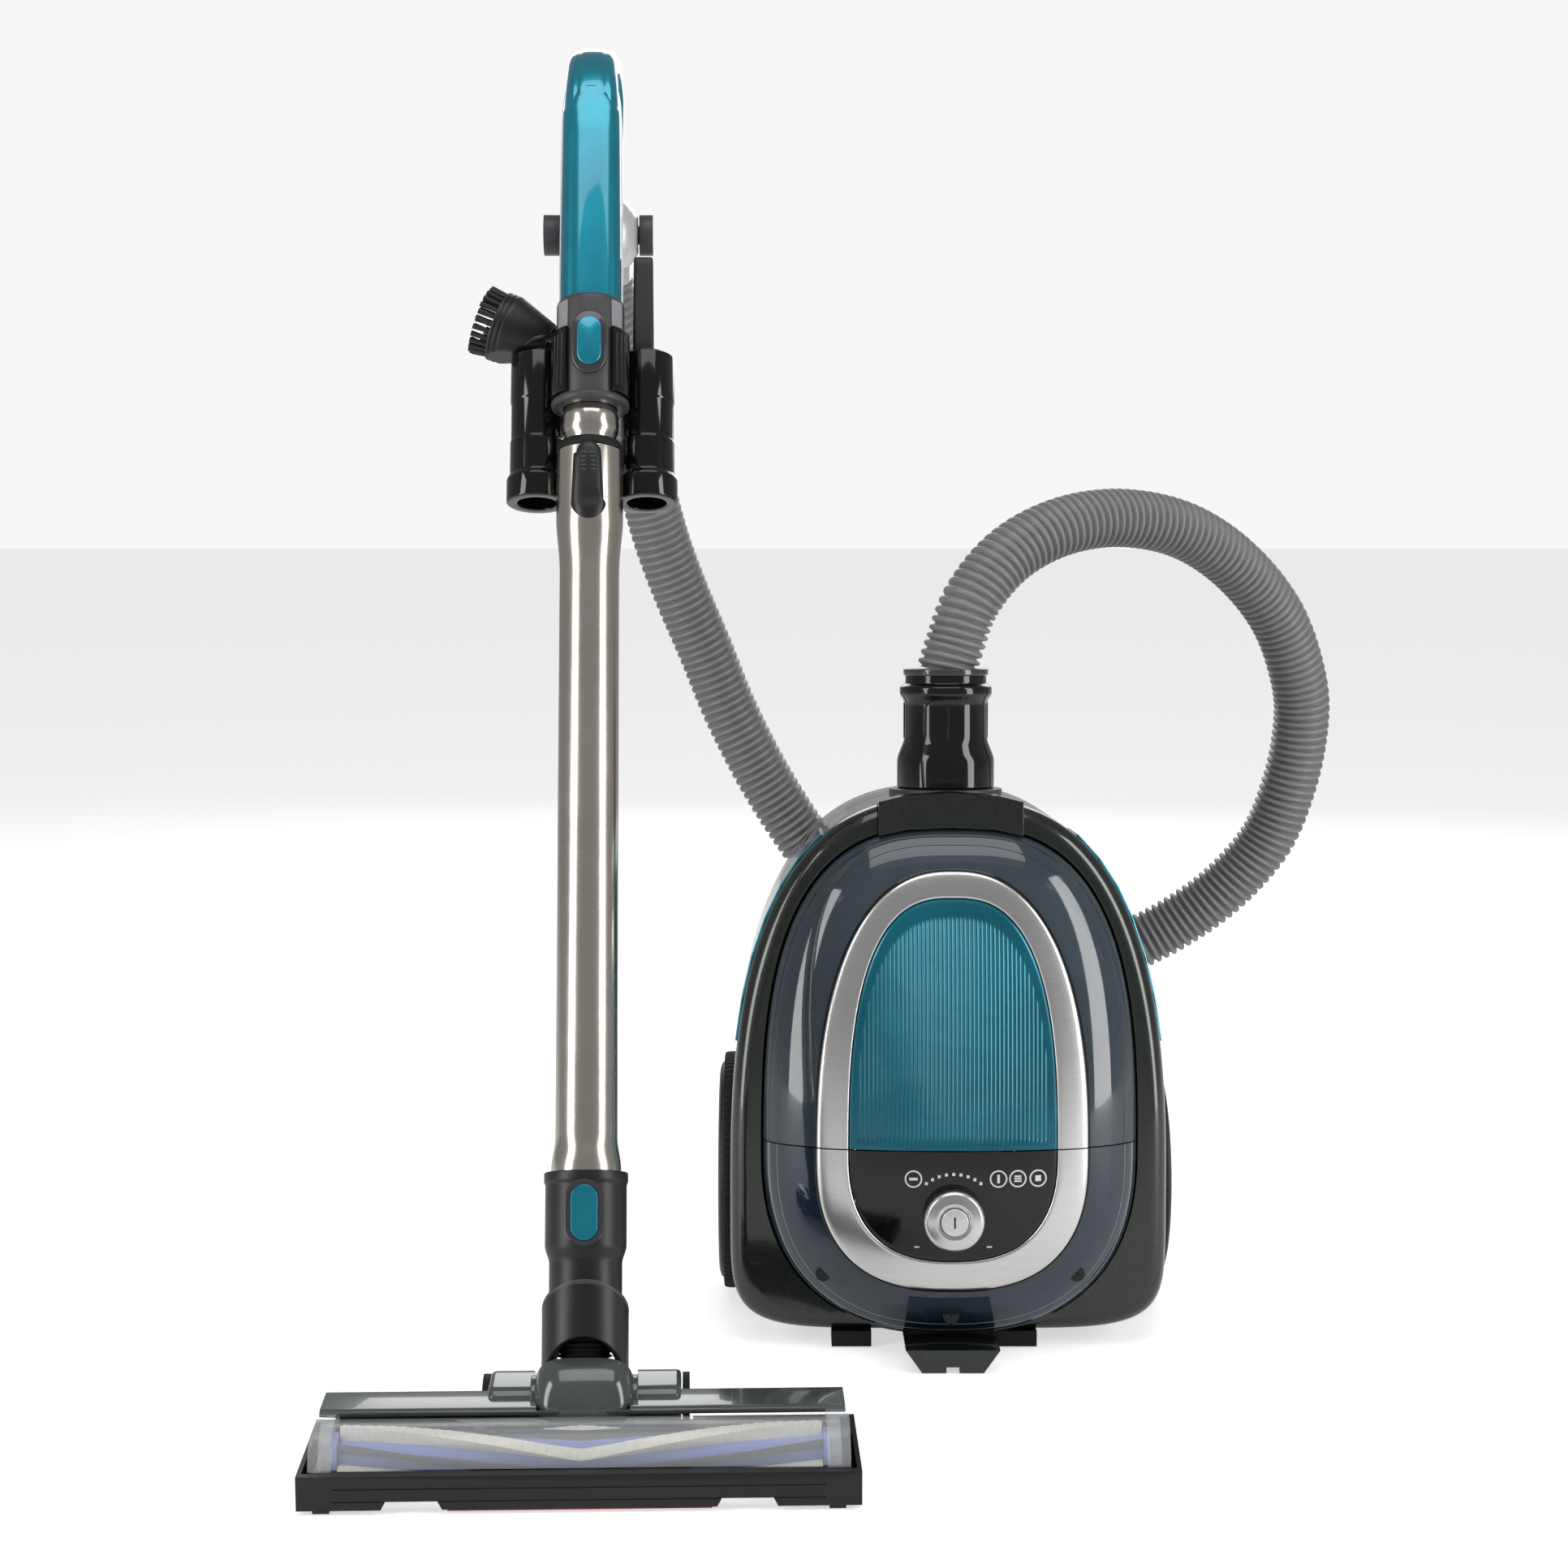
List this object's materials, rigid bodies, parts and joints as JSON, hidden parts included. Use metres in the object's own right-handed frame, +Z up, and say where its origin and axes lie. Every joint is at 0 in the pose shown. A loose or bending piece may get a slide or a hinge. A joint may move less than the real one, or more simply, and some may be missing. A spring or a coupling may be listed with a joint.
{
  "type": "canister_vacuum_cleaner",
  "caption": "Bagless canister vacuum cleaner stored upright, with hose, telescoping wand, loop handle, two clip-on tools and a powered floor nozzle",
  "frame": {"origin": "bottom centre of the whole cleaner without its hose, on the floor", "axes": "X to the right seen from the front, Y from the front towards the back, Z up"},
  "size_m": [0.6423, 0.5557, 0.8124],
  "materials": {
    "casing": "metallic olive gunmetal, high gloss",
    "teal_gloss": "high gloss",
    "black_gloss": "high gloss",
    "black_satin": "fine textured satin",
    "rubber": "matt",
    "smoke_clear": "smoky clear plastic, polished",
    "window_clear": "clear plastic, polished",
    "silver": "satin silver paint",
    "grey_plastic": "satin",
    "hose_grey": "ribbed satin",
    "tube_steel": "warm stainless, fine brushed",
    "nozzle_green": "high gloss",
    "brush_blue": "satin",
    "bristle_cream": "bristle pile",
    "bristle_black": "bristles",
    "felt_red": "felt",
    "motor_steel": "brushed",
    "board_green": "circuit board",
    "filter_white": "pleated filter",
    "screw_steel": "bright"
  },
  "bodies": {
    "canister": {"base_casing": "casing", "frame_casing": "casing", "side_strips": "teal_gloss", "stand_feet": "rubber", "tail_bracket": "casing", "casing_screws": "screw_steel", "lower_cover": "smoke_clear", "lower_bezel": "silver", "control_panel": "black_gloss", "control_board": "board_green", "hose_inlet": "black_gloss", "motor": "motor_steel", "battery_pack": "black_satin", "exhaust_filter": "filter_white", "hose_cuff": "black_gloss", "hose": "hose_grey", "handle_front": "teal_gloss", "handle_rear": "teal_gloss", "handle_trim": "silver", "handle_housing": "grey_plastic", "handle_hub": "silver", "hub_caps": "grey_plastic", "tool_holder": "black_gloss", "inner_tube": "tube_steel"},
    "dirt_bin": {"bin_shell": "smoke_clear", "bin_cover": "smoke_clear", "bin_bezel": "silver", "bin_panel": "teal_gloss", "cyclone_cone": "grey_plastic", "pre_filter": "filter_white"},
    "latch": {"bin_latch": "casing"},
    "control_knob": {"knob": "silver"},
    "power": {"power_button": "silver"},
    "fan": {"fan_wheel": "grey_plastic"},
    "left_wheel": {"wheel_left": "black_satin"},
    "right_wheel": {"wheel_right": "black_satin"},
    "caster": {"caster_fork": "grey_plastic"},
    "caster_roller": {"caster_wheel": "rubber"},
    "battery_hatch": {"battery_door": "black_satin"},
    "release_button": {"handle_button": "teal_gloss"},
    "crevice": {"crevice_tool": "black_gloss"},
    "duster": {"dusting_brush": "black_gloss", "brush_tufts": "bristle_black"},
    "outer_wand": {"outer_tube": "tube_steel", "wand_seal": "rubber", "connector": "black_satin"},
    "slider": {"wand_slider": "black_satin"},
    "wand_button": {"connector_button": "teal_gloss"},
    "neck": {"elbow": "black_satin", "bellows": "rubber"},
    "nozzle": {"nozzle_base": "black_satin", "nozzle_top": "nozzle_green", "nozzle_window": "window_clear", "brush_motor": "motor_steel", "felt_strip": "felt_red", "drive_belt": "rubber"},
    "brush_roll": {"brush_core": "brush_blue", "brush_strips": "bristle_cream"},
    "pulley": {"motor_pulley": "grey_plastic"},
    "rear_rollers": {"nozzle_wheels": "rubber"}
  },
  "joints": [
    {"name": "bin_lift_out", "type": "slide", "parent": "canister", "child": "dirt_bin", "axis": [0, -0.9962, 0.0872], "range_m": [0, 0.12]},
    {"name": "latch_slide", "type": "slide", "parent": "canister", "child": "latch", "axis": [0, 0.0872, 0.9962], "range_m": [0, 0.003], "stiffness_N_per_m": 150},
    {"name": "knob_turn", "type": "hinge", "parent": "canister", "child": "control_knob", "pos_m": [0.1104, -0.01683, 0.09551], "axis": [0, -0.9962, 0.0872], "range_deg": [-50, 50]},
    {"name": "power_press", "type": "slide", "parent": "control_knob", "child": "power", "axis": [0, 0.9962, -0.0872], "range_m": [0, 0.0025], "stiffness_N_per_m": 200},
    {"name": "fan_spin", "type": "hinge", "parent": "canister", "child": "fan", "pos_m": [0.1104, 0.10843, 0.09308], "axis": [0, 0.0872, 0.9962], "continuous": true},
    {"name": "left_wheel_spin", "type": "hinge", "parent": "canister", "child": "left_wheel", "pos_m": [-0.0256, 0.14459, 0.08189], "axis": [-1, 0, 0], "continuous": true},
    {"name": "right_wheel_spin", "type": "hinge", "parent": "canister", "child": "right_wheel", "pos_m": [0.2464, 0.14459, 0.08189], "axis": [-1, 0, 0], "continuous": true},
    {"name": "caster_swivel", "type": "hinge", "parent": "canister", "child": "caster", "pos_m": [0.1104, 0.20923, 0.26997], "axis": [0, 0.9962, -0.0872], "continuous": true},
    {"name": "caster_spin", "type": "hinge", "parent": "caster", "child": "caster_roller", "pos_m": [0.1104, 0.22529, 0.25853], "axis": [-1, 0, 0], "continuous": true},
    {"name": "hatch_open", "type": "hinge", "parent": "canister", "child": "battery_hatch", "pos_m": [0.1104, 0.19617, 0.01163], "axis": [-1, 0, 0], "range_deg": [0, 75]},
    {"name": "release_press", "type": "slide", "parent": "canister", "child": "release_button", "axis": [-0.0276, 0.9316, -0.3624], "range_m": [0, 0.002], "stiffness_N_per_m": 150},
    {"name": "crevice_lift", "type": "slide", "parent": "canister", "child": "crevice", "axis": [-0.0108, 0.3623, 0.932], "range_m": [0, 0.1]},
    {"name": "duster_lift", "type": "slide", "parent": "canister", "child": "duster", "axis": [-0.0108, 0.3623, 0.932], "range_m": [0, 0.09]},
    {"name": "wand_extend", "type": "slide", "parent": "canister", "child": "outer_wand", "axis": [0.0108, -0.3623, -0.932], "range_m": [0, 0.3]},
    {"name": "slider_press", "type": "slide", "parent": "outer_wand", "child": "slider", "axis": [0.0108, -0.3623, -0.932], "range_m": [0, 0.006], "stiffness_N_per_m": 150},
    {"name": "wand_button_press", "type": "slide", "parent": "outer_wand", "child": "wand_button", "axis": [-0.0276, 0.9316, -0.3624], "range_m": [0, 0.002], "stiffness_N_per_m": 150},
    {"name": "neck_turn", "type": "hinge", "parent": "outer_wand", "child": "neck", "pos_m": [-0.10514, -0.14189, 0.0811], "axis": [-0.0108, 0.3623, 0.932], "range_deg": [-60, 60]},
    {"name": "neck_tilt", "type": "hinge", "parent": "neck", "child": "nozzle", "pos_m": [-0.1046, -0.16, 0.0345], "axis": [0.9996, 0.0297, 0], "range_deg": [0, 46]},
    {"name": "brush_spin", "type": "hinge", "parent": "nozzle", "child": "brush_roll", "pos_m": [-0.10326, -0.20498, 0.02], "axis": [-0.9996, -0.0297, 0], "continuous": true},
    {"name": "pulley_spin", "type": "hinge", "parent": "nozzle", "child": "pulley", "pos_m": [-0.22467, -0.15956, 0.018], "axis": [-0.9996, -0.0297, 0], "continuous": true},
    {"name": "roller_spin", "type": "hinge", "parent": "nozzle", "child": "rear_rollers", "pos_m": [-0.10537, -0.13401, 0.02], "axis": [-0.9996, -0.0297, 0], "continuous": true}
  ],
  "couplings": [
    {"joint": "pulley_spin", "follows": "brush_spin", "ratio": 2.5}
  ]
}
